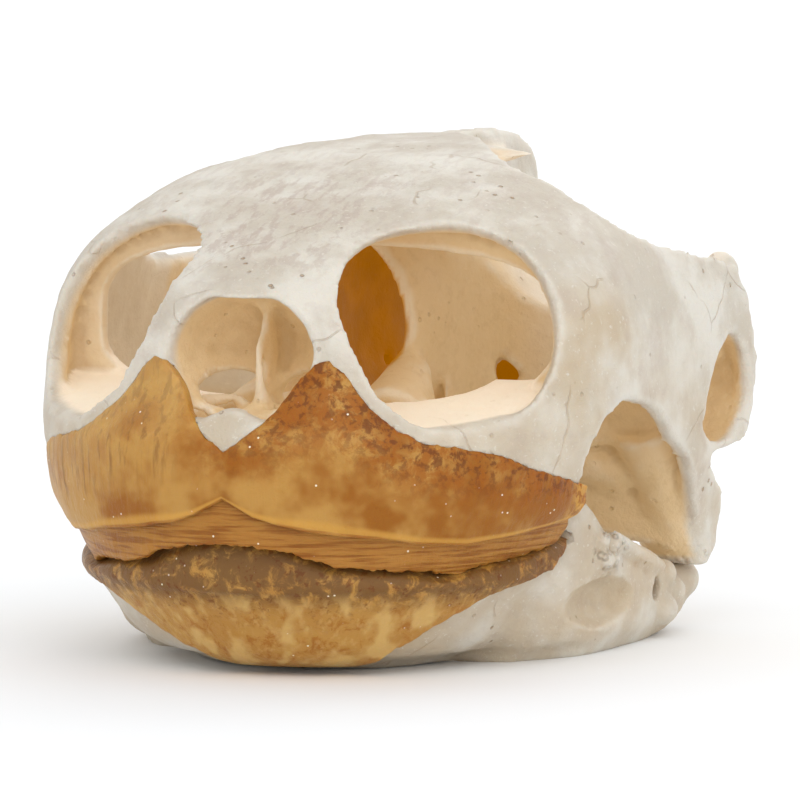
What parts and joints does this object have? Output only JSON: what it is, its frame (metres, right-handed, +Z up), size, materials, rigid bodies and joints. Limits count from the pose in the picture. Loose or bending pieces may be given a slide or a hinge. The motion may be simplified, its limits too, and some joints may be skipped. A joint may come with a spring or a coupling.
{
  "type": "turtle skull",
  "caption": "Broad turtle skull with lower jaw, large forward-facing orbits, open temples and ears, and horny amber beak sheaths on both jaws.",
  "frame": {"origin": "centre of the bounding box in X and Y, on the plane that the lower jaw rests on", "axes": "+X towards the animal's left, +Y towards the back of the skull (the beak faces -Y), +Z up from the resting plane to the roof of the skull"},
  "size_m": [0.0514, 0.069, 0.0423],
  "materials": {
    "cranium": "dry cleaned bone, matt with a faint wax-like sheen, warmer inside the hollows",
    "mandible": "dry cleaned bone, matt with a faint wax-like sheen",
    "upper_beak": "translucent amber horn with brown mottling and a ragged brown lip, satin",
    "lower_beak": "translucent amber horn with grey-brown blotches and streaks, satin"
  },
  "bodies": {
    "root": {"cranium": "cranium", "mandible": "mandible", "upper_beak": "upper_beak", "lower_beak": "lower_beak"}
  },
  "joints": []
}
